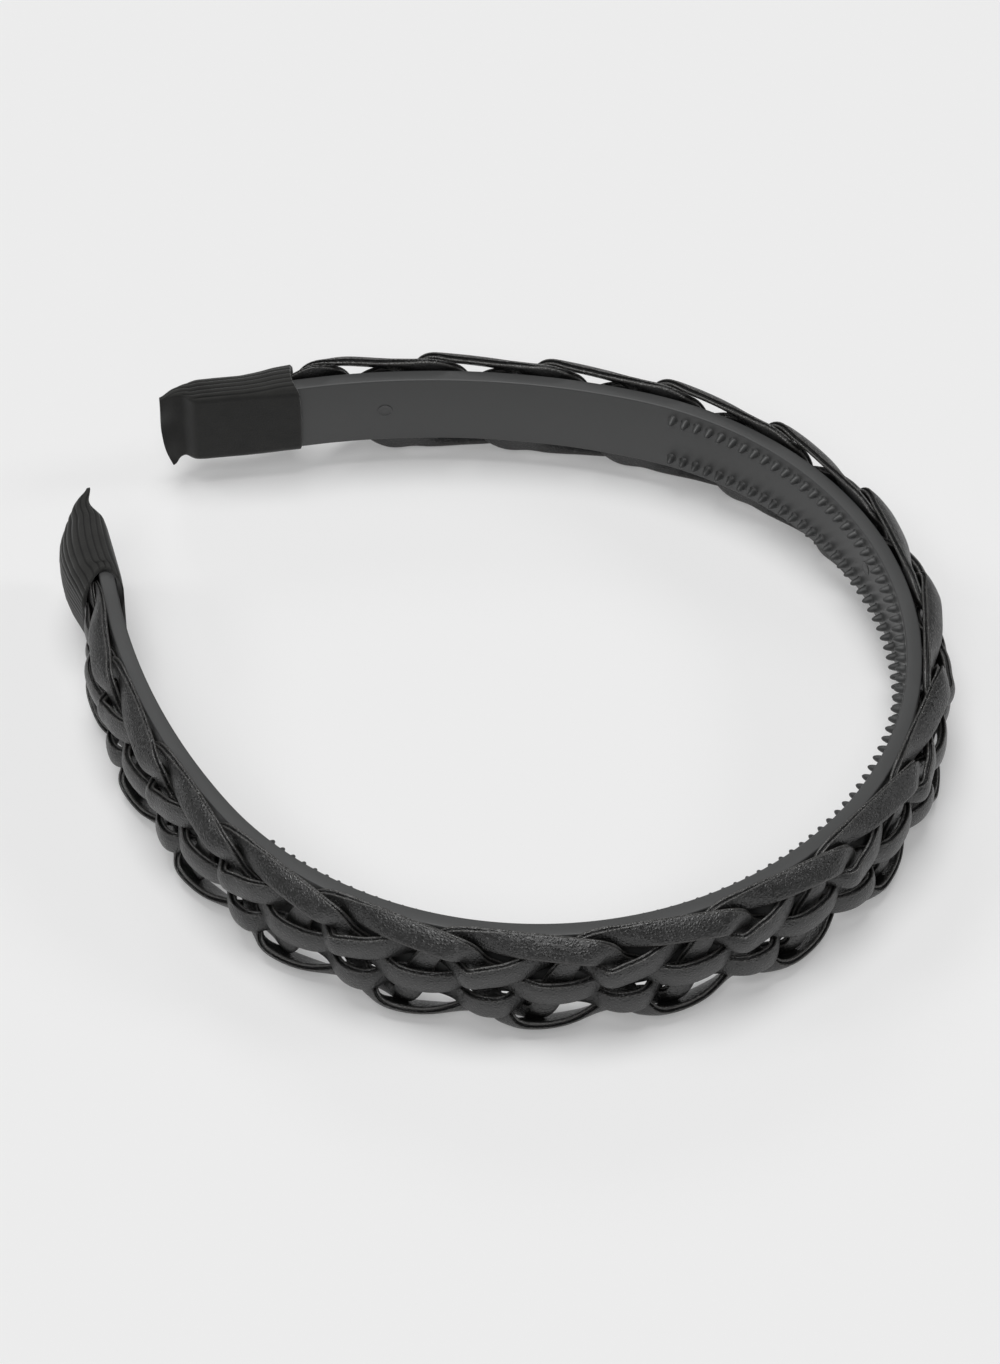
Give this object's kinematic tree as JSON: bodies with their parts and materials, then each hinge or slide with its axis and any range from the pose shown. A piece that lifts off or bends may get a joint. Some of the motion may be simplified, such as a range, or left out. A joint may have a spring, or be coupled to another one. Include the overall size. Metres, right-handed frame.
{
  "type": "woven headband",
  "caption": "Black alice-band headband: comb-toothed plastic band faced with a broad plait of folded faux-leather strips, with ribbed cloth sleeves on its ends.",
  "frame": {"origin": "centre of the headband's bounding box in X and Y, at its underside: the lowest loops of the plait", "axes": "+X towards the crown of the ring, the two ends towards -X; +Y towards the right end; +Z along the band's width, upwards as it lies on its side edge"},
  "size_m": [0.1554, 0.1384, 0.0219],
  "materials": {
    "plastic": "matt, moulded",
    "leather": "fine pebble grain, satin",
    "ribbed_cloth": "ribbed knit, dull"
  },
  "bodies": {
    "root": {"plastic_band": "plastic", "core_strip_upper": "leather", "core_strip_lower": "leather", "braid_strip_1": "leather", "braid_strip_2": "leather", "braid_strip_3": "leather", "braid_strip_4": "leather", "end_sleeve_left": "ribbed_cloth", "end_sleeve_right": "ribbed_cloth"}
  },
  "joints": []
}
